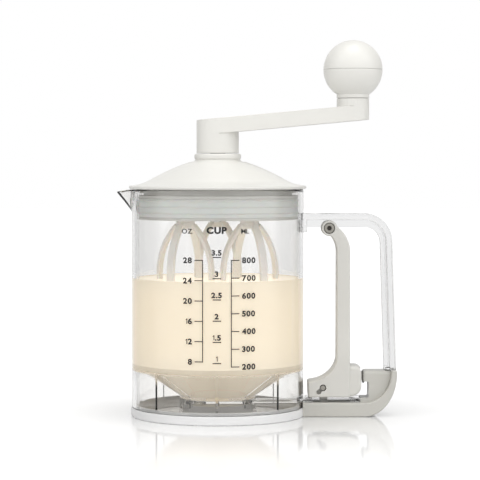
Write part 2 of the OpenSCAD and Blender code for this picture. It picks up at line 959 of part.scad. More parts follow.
module whisk(index) {
    color(nylon)
        around(whisk_ring, [whisk_angles[index]])
            rotate([0, 0, whisk_phases[index]])
                difference() {
                    union() {
                        whisk_strip();
                        rotate([0, 0, 90])
                            whisk_strip();
                        rotate([0, 0, 45])
                            whisk_hub();
                        rod_z(4.2, whisk_low - 0.6, whisk_low + 3.4);
                    }
                    rod_z(whisk_spindle_r + 0.02, drum_low - 4, drum_low + 1);
                }
}

module whisk_1() {
    whisk(0);
}

module whisk_2() {
    whisk(1);
}

module whisk_3() {
    whisk(2);
}

jar();
base_ring();
outlet_gasket();
outlet_nozzle();
nozzle_screws();
handle_loop();
handle_base();
base_cover();
base_screws();
handle_screw();
slide_guides();
pivot_screw();
pivot_nut();
return_spring();
trigger();
valve_slide();
slide_lug();
slide_peg();
lid_dome();
lid_collar();
gear_housing();
housing_screws();
lid_gasket();
gear_floor();
floor_screws();
spindle_bushes();
shaft_bush();
crank_arm();
drive_shaft();
drive_gear();
crank_pin();
shaft_clip();
knob_spindle();
knob_lower();
knob_upper();
knob_washer();
pinion_1();
pinion_2();
pinion_3();
whisk_1();
whisk_2();
whisk_3();
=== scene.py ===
"""Looks of the hand-cranked batter mixer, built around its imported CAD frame.

The jar's axis is Z, the handle points along +X and the measuring scale faces -Y.
Lengths are millimetres until a piece's mesh is made, which turns them into metres. The lamp and the
camera are placed in metres.
"""

import json
from math import acos, asin, atan2, cos, pi, radians, sin, sqrt, tan

import bmesh
import bpy
from mathutils import Matrix, Vector


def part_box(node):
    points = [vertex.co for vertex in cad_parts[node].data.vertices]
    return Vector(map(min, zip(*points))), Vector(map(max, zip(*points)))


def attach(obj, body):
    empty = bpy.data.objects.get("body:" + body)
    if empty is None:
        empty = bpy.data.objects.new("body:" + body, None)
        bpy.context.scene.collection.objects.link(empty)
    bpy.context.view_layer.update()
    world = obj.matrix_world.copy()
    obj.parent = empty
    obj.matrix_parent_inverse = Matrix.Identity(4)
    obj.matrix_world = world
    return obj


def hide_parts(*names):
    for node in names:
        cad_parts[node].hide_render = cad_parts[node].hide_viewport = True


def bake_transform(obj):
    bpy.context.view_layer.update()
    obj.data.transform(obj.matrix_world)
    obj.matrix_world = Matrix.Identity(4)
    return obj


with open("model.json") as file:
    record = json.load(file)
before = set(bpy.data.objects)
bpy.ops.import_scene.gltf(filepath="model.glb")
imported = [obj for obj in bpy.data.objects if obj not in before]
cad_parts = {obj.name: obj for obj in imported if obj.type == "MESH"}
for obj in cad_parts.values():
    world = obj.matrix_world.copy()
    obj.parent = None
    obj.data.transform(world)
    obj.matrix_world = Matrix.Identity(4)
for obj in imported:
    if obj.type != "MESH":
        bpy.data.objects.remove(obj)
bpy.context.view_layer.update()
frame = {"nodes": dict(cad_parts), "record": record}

MM = 0.001
SMOOTH_UP_TO = radians(32)


# ---------- sizes, from the frame and from the design ----------

def box_mm(node):
    """A CAD node's lowest and highest corner, in millimetres."""
    low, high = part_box(node)
    return low / MM, high / MM


JAR_R = box_mm("jar")[1].y
JAR_TOP = box_mm("jar")[1].z
SPOUT_TIP = -box_mm("jar")[0].x
JAR_WALL = 2.6
JAR_IN = JAR_R - JAR_WALL
JAR_LOW = box_mm("base_ring")[1].z - 2.0
RING_R = box_mm("base_ring")[1].y
FUNNEL_TOP = 35.0
FUNNEL_BEND = 16.5
FLOOR_T = 2.2
TOWER_R = 25.5
OUTLET_R = 5.0
OUTLET_Z = 12.0
GUSSETS = 8

DOME_R = box_mm("lid_dome")[1].y
DOME_H = 19.1
COLLAR_R = box_mm("lid_collar")[1].y
COLLAR_TOP = box_mm("lid_collar")[1].z
DRUM_LOW = box_mm("gear_housing")[0].z
DRUM_TOP = JAR_TOP - 3.8
DRUM_R = JAR_IN - 1.5
NECK_R = DRUM_R - 3.5

HUB_R = 13.85
HUB_LOW = box_mm("crank_arm")[0].z
POST_R = 10.6
POST_TOP = box_mm("crank_arm")[1].z
ARM_LOW = JAR_TOP + 36.4
ARM_T = 10.0
ARM_SLOPE = tan(radians(5.2))
CRANK_REACH = box_mm("crank_arm")[1].x - POST_R
KNOB_R = box_mm("knob_upper")[1].y
KNOB_Z = box_mm("knob_upper")[1].z - KNOB_R

WHISK_RING = 24.0
WHISK_ANGLES = (90, 210, 330)
WHISK_PHASES = (45, 33, 57)
WHISK_R = 20.3
WHISK_LOW = 25.0
WHISK_TOP = DRUM_LOW - 5.3
STRIP_W = 5.2
STRIP_T = 2.4

HANDLE_TOP = box_mm("handle_loop")[1].z
HANDLE_W = 20.0
CORNER_X = 95.4
CORNER_R = 18.5
LEG_LEAN = 2.7
LEG_LOW = 30.5
LEG_X = CORNER_X + CORNER_R + LEG_LEAN
RIB_W = 5.2
BASE_W = 25.0
BAR_TOP = 9.3
BLOCK_W = 16.4
SCREW_X = LEG_X - 4.9
SCREW_Z = 23.5
SPRING_Z = 24.6

PIVOT_X = 72.8
PIVOT_Z = HANDLE_TOP - 9.8
STEM_W = 18.0
PIVOT_SINK = 2.3
FOOT_W = 21.0
STEM_LEFT = 77.6
STEM_RIGHT = 86.4
FOOT_LOW = 12.6
PEG_X = 68.7
PEG_Z = 18.9

SLIDE_Z = 8.5
SLIDE_T = 2.2
SLIDE_W = 21.0
SLIDE_STRIP_W = 10.0


# ---------- outlines ----------

def arc(cx, cz, radius, start, end, steps=12):
    """Points along a circle, angles in degrees."""
    return oval(cx, cz, radius, radius, start, end, steps)


def oval(cx, cz, rx, rz, start, end, steps=12):
    points = []
    for i in range(steps + 1):
        a = radians(start + (end - start) * i / steps)
        points.append((cx + rx * cos(a), cz + rz * sin(a)))
    return points


def curve(p0, p1, p2, steps=10):
    """Points along a quadratic curve."""
    points = []
    for i in range(steps + 1):
        t = i / steps
        points.append(tuple((1 - t) ** 2 * a + 2 * t * (1 - t) * b + t * t * c
                            for a, b, c in zip(p0, p1, p2)))
    return points


def rounded(points, radius, steps=4):
    """The closed outline with its corners turned into arcs. radius is one number, or one for each corner."""
    radii = radius if isinstance(radius, (list, tuple)) else [radius] * len(points)
    result = []
    for i, corner in enumerate(points):
        here = Vector(corner)
        back = Vector(points[i - 1]) - here
        ahead = Vector(points[(i + 1) % len(points)]) - here
        half = back.angle(ahead) / 2
        if radii[i] <= 0 or half > radians(86):
            result.append(tuple(here))
            continue
        reach = min(radii[i] / tan(half), 0.45 * back.length, 0.45 * ahead.length)
        r = reach * tan(half)
        back.normalize()
        ahead.normalize()
        centre = here + (back + ahead).normalized() * (r / sin(half))
        first = here + back * reach - centre
        last = here + ahead * reach - centre
        a0 = atan2(first.y, first.x)
        turn = (atan2(last.y, last.x) - a0 + pi) % (2 * pi) - pi
        for k in range(steps + 1):
            a = a0 + turn * k / steps
            result.append((centre.x + r * cos(a), centre.y + r * sin(a)))
    return result


def rectangle(x0, z0, x1, z1):
    return [(x0, z0), (x1, z0), (x1, z1), (x0, z1)]


# ---------- meshes ----------

def make_object(name, points, faces):
    """A mesh object from points in millimetres."""
    mesh = bpy.data.meshes.new(name)
    mesh.from_pydata([Vector(p) * MM for p in points], [], faces)
    bm = bmesh.new()
    bm.from_mesh(mesh)
    bmesh.ops.remove_doubles(bm, verts=bm.verts, dist=1e-7)
    bmesh.ops.recalc_face_normals(bm, faces=bm.faces)
    bm.to_mesh(mesh)
    bm.free()
    obj = bpy.data.objects.new(name, mesh)
    bpy.context.scene.collection.objects.link(obj)
    return obj


def turned(name, outline, centre=(0.0, 0.0), angles=None, steps=144):
    """A solid of revolution: a closed outline of radius and height, turned about a vertical axis."""
    angles = angles or [2 * pi * i / steps for i in range(steps)]
    turns = len(angles)
    points = []
    for r, z in outline:
        points += [(centre[0] + r * cos(a), centre[1] + r * sin(a), z) for a in angles]
    faces = []
    for i in range(len(outline)):
        j = (i + 1) % len(outline)
        on_axis = (outline[i][0] < 1e-6, outline[j][0] < 1e-6)
        if all(on_axis):
            continue
        for k in range(turns):
            n = (k + 1) % turns
            quad = [i * turns + k, i * turns + n, j * turns + n, j * turns + k]
            if on_axis[0]:
                quad = [i * turns, j * turns + n, j * turns + k]
            elif on_axis[1]:
                quad = [i * turns + k, i * turns + n, j * turns]
            faces.append(quad)
    return make_object(name, points, faces)


def prism(name, outline, low, high):
    """An outline in X and Z, carried along Y from low to high."""
    count = len(outline)
    points = [(x, low, z) for x, z in outline] + [(x, high, z) for x, z in outline]
    faces = [list(range(count)), list(range(2 * count - 1, count - 1, -1))]
    for i in range(count):
        j = (i + 1) % count
        faces.append([i, i + count, j + count, j])
    return make_object(name, points, faces)


def block(name, low, high):
    return prism(name, rectangle(low[0], low[2], high[0], high[2]), low[1], high[1])


def rod(name, start, end, radius, steps=48):
    """A cylinder between two points."""
    start, end = Vector(start), Vector(end)
    side = (end - start).orthogonal().normalized()
    other = (end - start).normalized().cross(side)
    points = []
    for centre in (start, end):
        for i in range(steps):
            a = 2 * pi * i / steps
            points.append(centre + side * (radius * cos(a)) + other * (radius * sin(a)))
    faces = [list(range(steps)), list(range(2 * steps - 1, steps - 1, -1))]
    for i in range(steps):
        j = (i + 1) % steps
        faces.append([i, i + steps, j + steps, j])
    return make_object(name, points, faces)


def swept(name, stations, closed):
    """A solid through a row of sections, each a list of as many points as the first."""
    count = len(stations[0])
    points = [p for station in stations for p in station]
    faces = []
    for i in range(len(stations) if closed else len(stations) - 1):
        j = (i + 1) % len(stations)
        for k in range(count):
            n = (k + 1) % count
            faces.append([i * count + k, i * count + n, j * count + n, j * count + k])
    if not closed:
        faces.append(list(range(count)))
        faces.append([(len(stations) - 1) * count + k for k in range(count - 1, -1, -1)])
    return make_object(name, points, faces)


def settle(obj):
    """Turns the object's modifiers into its mesh."""
    graph = bpy.context.evaluated_depsgraph_get()
    made = bpy.data.meshes.new_from_object(obj.evaluated_get(graph))
    obj.modifiers.clear()
    obj.data = made
    return obj


def eased(obj, width, segments=3, over=30):
    """The object with its sharp edges rounded."""
    bevel = obj.modifiers.new("ease", "BEVEL")
    bevel.width = width * MM
    bevel.segments = segments
    bevel.limit_method = "ANGLE"
    bevel.angle_limit = radians(over)
    bevel.use_clamp_overlap = False
    bevel.harden_normals = False
    return settle(obj)


def combine(obj, operation, others):
    for other in others:
        boolean = obj.modifiers.new(operation, "BOOLEAN")
        boolean.operation = operation
        boolean.solver = "EXACT"
        boolean.object = other
        settle(obj)
        bpy.data.objects.remove(other)
    return obj


def joined(obj, *others):
    return combine(obj, "UNION", others)


def cut(obj, *others):
    return combine(obj, "DIFFERENCE", others)


def finish_surface(obj):
    """Smooth shading with crisp edges, and no stray points."""
    bm = bmesh.new()
    bm.from_mesh(obj.data)
    bmesh.ops.remove_doubles(bm, verts=bm.verts, dist=1e-6)
    bmesh.ops.dissolve_degenerate(bm, edges=bm.edges, dist=1e-7)
    bm.to_mesh(obj.data)
    bm.free()
    obj.data.shade_smooth()
    obj.data.set_sharp_from_angle(angle=SMOOTH_UP_TO)
    weighted = obj.modifiers.new("weighted", "WEIGHTED_NORMAL")
    weighted.keep_sharp = True
    return settle(obj)


def add_piece(obj, body, material, nodes, bend=None):
    """Shades a piece, lets it ride on its body and stand for its CAD nodes.

    When bend is given, the piece is left fixed where it lies instead of riding on its body; the second body
    and the two points in bend are not used.
    """
    finish_surface(obj)
    obj.data.materials.clear()
    obj.data.materials.append(material)
    if bend:
        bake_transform(obj)
    else:
        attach(obj, body)
    if nodes:
        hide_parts(*nodes)
    return obj


# ---------- materials ----------

def new_material(name):
    made = bpy.data.materials.new(name)
    made.use_nodes = True
    return made, made.node_tree, made.node_tree.nodes["Principled BSDF"]


def noise(tree, size_mm, detail=3.0, stretch=(1, 1, 1)):
    """A noise texture with features of about size_mm, in the part's own frame."""
    place = tree.nodes.new("ShaderNodeTexCoord")
    spread = tree.nodes.new("ShaderNodeMapping")
    spread.inputs["Scale"].default_value = stretch
    texture = tree.nodes.new("ShaderNodeTexNoise")
    texture.inputs["Scale"].default_value = 1 / (size_mm * MM)
    texture.inputs["Detail"].default_value = detail
    tree.links.new(place.outputs["Object"], spread.inputs["Vector"])
    tree.links.new(spread.outputs["Vector"], texture.inputs["Vector"])
    return texture.outputs["Fac"]


def vary_roughness(tree, shader, low, high, size_mm):
    spread = tree.nodes.new("ShaderNodeMapRange")
    spread.inputs["From Min"].default_value = 0.3
    spread.inputs["From Max"].default_value = 0.7
    spread.inputs["To Min"].default_value = low
    spread.inputs["To Max"].default_value = high
    tree.links.new(noise(tree, size_mm), spread.inputs["Value"])
    tree.links.new(spread.outputs["Result"], shader.inputs["Roughness"])


def vary_colour(tree, shader, colour, shade, size_mm):
    """Two close tones, drifting from one to the other across the piece."""
    mix = tree.nodes.new("ShaderNodeMix")
    mix.data_type = "RGBA"
    mix.inputs[6].default_value = (*colour, 1)
    mix.inputs[7].default_value = (*(c * shade for c in colour), 1)
    tree.links.new(noise(tree, size_mm), mix.inputs[0])
    tree.links.new(mix.outputs[2], shader.inputs["Base Color"])


def add_bumps(tree, shader, layers):
    """Bumps from several noises. Each layer is a feature size and a height, in millimetres."""
    normal = None
    for size_mm, height_mm in layers:
        bump = tree.nodes.new("ShaderNodeBump")
        bump.inputs["Strength"].default_value = 1.0
        bump.inputs["Distance"].default_value = height_mm * MM
        tree.links.new(noise(tree, size_mm), bump.inputs["Height"])
        if normal:
            tree.links.new(normal, bump.inputs["Normal"])
        normal = bump.outputs["Normal"]
    tree.links.new(normal, shader.inputs["Normal"])


def plastic(name, colour, roughness, shade=0.96, grain=(0.35, 0.006), sheen=0.0, subsurface=0.0):
    """Opaque moulded plastic: a fine spark-eroded grain, long faint sink waves and uneven gloss."""
    made, tree, shader = new_material(name)
    vary_colour(tree, shader, colour, shade, 14)
    vary_roughness(tree, shader, roughness - 0.05, roughness + 0.06, 3.5)
    add_bumps(tree, shader, [(9.0, 0.03), grain])
    shader.inputs["Sheen Weight"].default_value = sheen
    shader.inputs["Subsurface Weight"].default_value = subsurface
    shader.inputs["Subsurface Scale"].default_value = 0.002
    return made


def clear(name, colour, roughness, bumps, ior=1.46, transmission=1.0):
    """Clear moulded plastic, a little wavy, with faint handling haze."""
    made, tree, shader = new_material(name)
    vary_colour(tree, shader, colour, 0.985, 30)
    vary_roughness(tree, shader, roughness * 0.7, roughness * 1.3, 6)
    add_bumps(tree, shader, bumps)
    shader.inputs["Transmission Weight"].default_value = transmission
    shader.inputs["IOR"].default_value = ior
    return made


def metal(name, colour, roughness, stretch):
    """Plated steel with fine drawn lines."""
    made, tree, shader = new_material(name)
    vary_colour(tree, shader, colour, 0.85, 2.0)
    vary_roughness(tree, shader, roughness - 0.08, roughness + 0.1, 0.8)
    bump = tree.nodes.new("ShaderNodeBump")
    bump.inputs["Distance"].default_value = 0.004 * MM
    tree.links.new(noise(tree, 0.25, stretch=stretch), bump.inputs["Height"])
    tree.links.new(bump.outputs["Normal"], shader.inputs["Normal"])
    shader.inputs["Metallic"].default_value = 1.0
    return made


WHITE = plastic("white_plastic", (0.77, 0.76, 0.72), 0.34)
WARM_GREY = plastic("grey_white_plastic", (0.635, 0.625, 0.587), 0.36)
# A darker copy of the grey-white plastic: painted shade for the base housing, which sits low beside the
# table.
HOUSING_GREY_PAINTED_SHADE = plastic("housing_plastic_painted_shade", (0.53, 0.52, 0.48), 0.36)
NYLON = plastic("nylon", (0.93, 0.915, 0.88), 0.42, shade=0.93, grain=(0.25, 0.01), subsurface=0.1)
SILICONE = plastic("silicone", (0.96, 0.95, 0.91), 0.5, grain=(0.2, 0.004), sheen=0.3, subsurface=0.2)
CLEAR = clear("clear_plastic", (0.995, 0.992, 0.985), 0.01, [(30.0, 0.008)])
CLEAR_HANDLE = clear("clear_handle", (0.94, 0.94, 0.94), 0.02, [(30, 0.002)])
FROSTED = clear("frosted_plastic", (0.97, 0.97, 0.97), 0.4, [(0.3, 0.01)], transmission=0.25)
STEEL = metal("plated_steel", (0.62, 0.62, 0.62), 0.3, (1, 1, 6))
SPRING_STEEL = metal("spring_steel", (0.5, 0.5, 0.51), 0.25, (6, 1, 1))
DARK_STEEL = metal("blackened_steel", (0.36, 0.345, 0.31), 0.42, (1, 6, 1))
SHADOWED_STEEL = metal("shadowed_steel", (0.06, 0.055, 0.05), 0.5, (1, 6, 1))
INK = plastic("scale_ink", (0.008, 0.008, 0.008), 0.5, shade=0.8, grain=(0.15, 0.002))

NODE_MATERIALS = {
    "clear_plastic": CLEAR,
    "frosted_plastic": FROSTED,
    "white_plastic": WHITE,
    "grey_white_plastic": WARM_GREY,
    "nylon": NYLON,
    "silicone": SILICONE,
    "steel": STEEL,
}

OWN_MATERIALS = {
    "slide_peg": DARK_STEEL,
    # base_cover gets the grey-white plastic's darker copy, with painted shade.
    "base_cover": HOUSING_GREY_PAINTED_SHADE,
}


def dress_cad_nodes():
    """Every carried-over CAD node gets the worked material of its slot."""
    for subpart in frame["record"]["subparts"]:
        obj = frame["nodes"][subpart["node"]]
        usual = NODE_MATERIALS[subpart["material_slot"]]
        obj.data.materials.clear()
        obj.data.materials.append(OWN_MATERIALS.get(subpart["node"], usual))


# ---------- jar ----------

def spout_radius(radius, angle, height, tip):
    """How far a wall of this radius stands out at an angle and a height, with the spout's V in it."""
    low = JAR_TOP - 15
    if height <= low:
        return radius
    reach = radius + (tip - radius) * (height - low) / (JAR_TOP - low)
    away = sqrt((abs(angle) - pi) ** 2 + 0.008 ** 2)
    flank = radians(50)
    line = reach * sin(flank) / sin(min(flank + away, pi / 2))
    blend = 0.9
    return (radius + line + sqrt((line - radius) ** 2 + blend ** 2)) / 2


def spout_angles():
    """Even steps round the jar, and finer ones at the spout."""
    angles = [radians(d) for d in range(-150, 151, 3)]
    angles += [radians(d / 10) for d in range(1530, 2070, 12)]
    return angles


def jar_outline():
    """The jar's outline with enough points near the rim for the spout to bend it."""
    steps = [JAR_TOP - 17 + k * 0.9 for k in range(18)]
    under = FLOOR_T + 0.5
    outer = [(JAR_R, JAR_LOW), (JAR_R, FUNNEL_TOP)] + [(JAR_R, z) for z in steps]
    rim = [(JAR_R - 0.1, JAR_TOP - 0.7), (JAR_R - 0.4, JAR_TOP - 0.2), (JAR_R - 0.9, JAR_TOP),
           (JAR_IN + 0.9, JAR_TOP), (JAR_IN + 0.4, JAR_TOP - 0.2), (JAR_IN + 0.1, JAR_TOP - 0.7)]
    inner = [(JAR_IN, z) for z in reversed(steps)]
    well = rounded([(JAR_IN, FUNNEL_TOP + 8), (JAR_IN, FUNNEL_TOP), (TOWER_R - 0.5, FUNNEL_BEND),
                    (OUTLET_R, OUTLET_Z + FLOOR_T), (OUTLET_R, OUTLET_Z), (TOWER_R, OUTLET_Z),
                    (TOWER_R, FUNNEL_BEND - under), (JAR_IN, FUNNEL_TOP - under), (JAR_IN, JAR_LOW)],
                   [0, 4, 6, 0.6, 0.2, 0.2, 0.4, 1.2, 0])
    return outer + rim + inner + well


def bend_spout(obj):
    for v in obj.data.vertices:
        x, y, z = v.co / MM
        r = sqrt(x * x + y * y)
        if r < JAR_IN - 0.5 or z < JAR_TOP - 18:
            continue
        angle = atan2(y, x)
        tip = SPOUT_TIP + 0.8 if r > (JAR_IN + JAR_R) / 2 else SPOUT_TIP - 2.6
        wall = JAR_R if r > (JAR_IN + JAR_R) / 2 else JAR_IN
        moved = spout_radius(wall, angle, min(z, JAR_TOP), tip) + (r - wall)
        dip = 1.5 * ((moved - r) / (SPOUT_TIP - JAR_R)) ** 1.5
        v.co = Vector((moved * cos(angle), moved * sin(angle), z - dip)) * MM


def jar_vessel():
    jar = turned("vessel", jar_outline(), angles=spout_angles())
    bend_spout(jar)
    for i in range(GUSSETS):
        web = prism("gusset", rounded([(TOWER_R - 1, JAR_LOW + 0.8), (JAR_IN + 1, JAR_LOW + 0.8),
                                       (JAR_IN + 1, FUNNEL_TOP - 1), (TOWER_R - 1, 14.6)], 0.1), -0.8, 0.8)
        web.data.transform(Matrix.Rotation(radians(i * 360 / GUSSETS), 4, "Z"))
        joined(jar, web)
    tower = turned("tower", [(TOWER_R - 2.2, 2), (TOWER_R - 0.1, 2), (TOWER_R - 0.1, OUTLET_Z + 1),
                             (TOWER_R - 2.2, OUTLET_Z + 1)], steps=96)
    joined(jar, tower)
    way_low = SLIDE_Z - 0.4
    way_high = SLIDE_Z + SLIDE_T + 0.4
    wide = block("way", (10, -SLIDE_W / 2 - 0.4, way_low), (37, SLIDE_W / 2 + 0.4, way_high))
    narrow = block("way", (36, -5.6, way_low), (JAR_R + 4, 5.6, way_high))
    cut(jar, wide, narrow)
    jar.name = "jar_vessel"
    return add_piece(jar, "jar", CLEAR, ["jar"])


def stand_ring():
    ring = turned("stand_ring", rounded([
        (JAR_IN - 2, 0), (RING_R, 0), (RING_R, JAR_LOW), (JAR_IN - 0.15, JAR_LOW),
        (JAR_IN - 0.15, JAR_LOW + 2), (JAR_IN - 2, JAR_LOW + 2)], [0.4, 1.0, 0.6, 0.1, 0.3, 0.3]), steps=180)
    cut(ring, block("slot", (JAR_IN - 5, -8.1, 1), (RING_R + 2, 8.1, 5)))
    return add_piece(ring, "jar", FROSTED, ["base_ring"])


# ---------- measuring scale ----------

PRINT_R = JAR_R + 0.03
PRINT_T = 0.03


def wrap(obj):
    """Bends a flat print, drawn in X and Z with its thickness along -Y, round the jar's front."""
    for v in obj.data.vertices:
        x, y, z = v.co
        r = PRINT_R * MM - y
        a = x / (PRINT_R * MM)
        v.co = (r * sin(a), -r * cos(a), z)


def dash(x0, z0, x1, z1):
    """A printed bar, in enough steps to follow the jar."""
    cells = max(1, round((x1 - x0) / 1.5))
    edges = [x0 + (x1 - x0) * i / cells for i in range(cells + 1)]
    outline = [(x, z0) for x in edges] + [(x, z1) for x in reversed(edges)]
    return prism("dash", outline, -PRINT_T, 0)


def glyph(letter, height, weight):
    """One flat character in X and Z with its left foot at the origin, and its width."""
    if letter == "1":
        stem_w = 0.17 * height
        right = 0.42 * height
        outline = [(right - stem_w, 0), (right, 0), (right, height), (right - 0.75 * stem_w, height),
                   (0.06 * height, 0.78 * height), (0.06 * height, 0.62 * height),
                   (right - stem_w, 0.79 * height)]
        return prism("one", outline, -PRINT_T, 0), right
    data = bpy.data.curves.new("glyph", "FONT")
    data.body = letter
    data.size = height / 0.70 * MM
    data.offset = weight * MM
    data.extrude = PRINT_T / 2 * MM
    data.resolution_u = 5
    text = bpy.data.objects.new("glyph", data)
    bpy.context.scene.collection.objects.link(text)
    graph = bpy.context.evaluated_depsgraph_get()
    mesh = bpy.data.meshes.new_from_object(text.evaluated_get(graph))
    bpy.data.objects.remove(text)
    obj = bpy.data.objects.new("glyph", mesh)
    bpy.context.scene.collection.objects.link(obj)
    left = min(v.co.x for v in mesh.vertices)
    stretch = 1.1
    for v in mesh.vertices:
        across, up, out = v.co
        v.co = ((across - left) * stretch, -out - PRINT_T / 2 * MM, up)
    return obj, max(v.co.x for v in mesh.vertices) / MM


def label(words, x, z, height, weight, align):
    """Printed characters, centred on the height z."""
    pen = 0
    glyphs = []
    for letter in words:
        obj, width = glyph(letter, height, weight)
        obj.data.transform(Matrix.Translation((pen * MM, 0, (z - height / 2) * MM)))
        glyphs.append(obj)
        pen += width + 0.1 * height
    width = pen - 0.1 * height
    start = {"LEFT": x, "CENTER": x - width / 2, "RIGHT": x - width}[align]
    for obj in glyphs:
        obj.data.transform(Matrix.Translation((start * MM, 0, 0)))
    return glyphs


def merge(name, parts):
    """One object from several, as they lie."""
    bm = bmesh.new()
    for part in parts:
        bm.from_mesh(part.data)
        bpy.data.objects.remove(part)
    mesh = bpy.data.meshes.new(name)
    bm.to_mesh(mesh)
    bm.free()
    obj = bpy.data.objects.new(name, mesh)
    bpy.context.scene.collection.objects.link(obj)
    return obj


def ruled_scale(names, bar_x, side, low, high):
    """A bar with a tick and a number at each even step from high down to low."""
    line = 0.6
    tick = 5.2
    parts = [dash(bar_x - line / 2, low - line / 2, bar_x + line / 2, high + line / 2)]
    for i, words in enumerate(names):
        z = high + (low - high) * i / (len(names) - 1)
        ends = sorted((bar_x, bar_x + side * tick))
        parts.append(dash(ends[0], z - line / 2, ends[1], z + line / 2))
        parts += label(words, bar_x + side * (tick + 1.7), z, 3.4, 0.2, "LEFT" if side > 0 else "RIGHT")
    return parts


def printed_scale():
    left_x = -8.95
    right_x = 9.2
    top = 104.3
    step = 13.35
    parts = ruled_scale(["28", "24", "20", "16", "12", "8"], left_x, -1, 40.4, top)
    parts += ruled_scale([str(n) for n in range(800, 100, -100)], right_x, 1, 37.2, top)
    for i, words in enumerate(["3.5", "3", "2.5", "2", "1.5", "1"]):
        z = 106.2 - step * i
        parts.append(dash(-2.6, z - 0.32, 2.8, z + 0.32))
        parts += label(words, -0.1, z + 2.9, 3.2, 0.2, "CENTER")
    parts += label("OZ", -19.0, 122.6, 2.9, 0.09, "CENTER")
    parts += label("CUP", 0.0, 123.2, 3.9, 0.3, "CENTER")
    parts += label("ML", 18.2, 122.6, 2.9, 0.07, "CENTER")
    scale = merge("measuring_scale", parts)
    wrap(scale)
    finish_surface(scale)
    scale.data.materials.append(INK)
    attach(scale, "jar")
    return scale


# ---------- lid ----------

def dome_line(drop, collar_end):
    """The dome's line from the collar out to the rim."""
    flare = [(collar_end, DOME_H + 0.9), (14.7, DOME_H + 0.1), (15.6, DOME_H - 0.75), (17.0, DOME_H - 1.15)]
    crown = [p for p in curve((14.3, DOME_H), (30, DOME_H - 4.7), (45, 5.8), 24) if p[0] > 18]
    skirt = curve((45, 5.8), (50, 2.95), (DOME_R, 2.3), 12)[1:]
    start = flare if drop == 0 else [(collar_end, DOME_H - 0.4)]
    return [(r, JAR_TOP + z - drop) for r, z in start + crown + skirt]


def dome():
    skin = 2.2
    outer = dome_line(0, 14.2)
    inner = [p for p in dome_line(skin, 11) if p[0] < NECK_R + 1]
    rim = [(DOME_R - 0.05, JAR_TOP + 1.9), (DOME_R, JAR_TOP + 1.5), (DOME_R, JAR_TOP + 1.05),
           (DOME_R - 0.25, JAR_TOP + 0.55), (DOME_R - 0.8, JAR_TOP + 0.2), (NECK_R + 0.6, JAR_TOP + 0.15)]
    outline = [(11, JAR_TOP + DOME_H + 0.9)] + outer[:-1] + [(DOME_R - 0.35, JAR_TOP + 2.2)] + rim
    shell = turned("dome_shell", outline + inner[::-1], steps=192)
    return add_piece(shell, "lid", WHITE, ["lid_dome"])


def collar():
    low = JAR_TOP + DOME_H + 0.25
    ring = turned("crank_collar", rounded([
        (5.05, JAR_TOP + 5), (9, JAR_TOP + 5), (9, JAR_TOP + DOME_H - 4), (10.9, JAR_TOP + DOME_H - 4),
        (10.9, low), (COLLAR_R, low), (COLLAR_R, COLLAR_TOP), (5.05, COLLAR_TOP)],
        [0.2, 0.3, 0.2, 0.3, 0.2, 1.3, 1.3, 0.2], steps=6), steps=144)
    return add_piece(ring, "lid", WHITE, ["lid_collar"])


def drum():
    wall = 2.0
    ceiling = DRUM_TOP - 2
    plate = DRUM_TOP + 2
    lip = DRUM_R + 0.5
    body = turned("gear_drum", rounded([
        (DRUM_R - wall, DRUM_LOW), (lip, DRUM_LOW), (lip, DRUM_LOW + 1.4), (DRUM_R, DRUM_LOW + 1.6),
        (DRUM_R, ceiling), (lip, ceiling + 0.2), (lip, DRUM_TOP), (NECK_R, DRUM_TOP),
        (NECK_R, JAR_TOP + 1.4), (NECK_R - 2.2, JAR_TOP + 1.4), (NECK_R - 2.2, plate), (6, plate),
        (6, ceiling), (DRUM_R - wall, ceiling)],
        [0.3, 0.4, 0.25, 0.1, 0.1, 0.25, 0.4, 0.6, 0.3, 0.3, 0.6, 0.2, 0.2, 0.6]), steps=180)
    return add_piece(body, "lid", WHITE, ["gear_housing"])


def gasket():
    """The sealing ring: a sleeve with three thin lips that lean up against the jar."""
    low = DRUM_LOW + 2
    foot = DRUM_R + 0.55
    tip = JAR_IN - 0.16
    outline = [(DRUM_R, low), (foot, low)]
    for height in (2.6, 6.6, 10.4):
        outline += [(foot, low + height - 0.7), (tip - 0.3, low + height - 0.1), (tip, low + height + 0.15),
                    (tip - 0.25, low + height + 0.3), (foot, low + height + 0.2)]
    outline += [(foot, low + 11.3), (DRUM_R, low + 11.3)]
    ring = turned("lip_seal", outline, steps=180)
    return add_piece(ring, "lid", SILICONE, ["lid_gasket"])


# ---------- crank and knob ----------

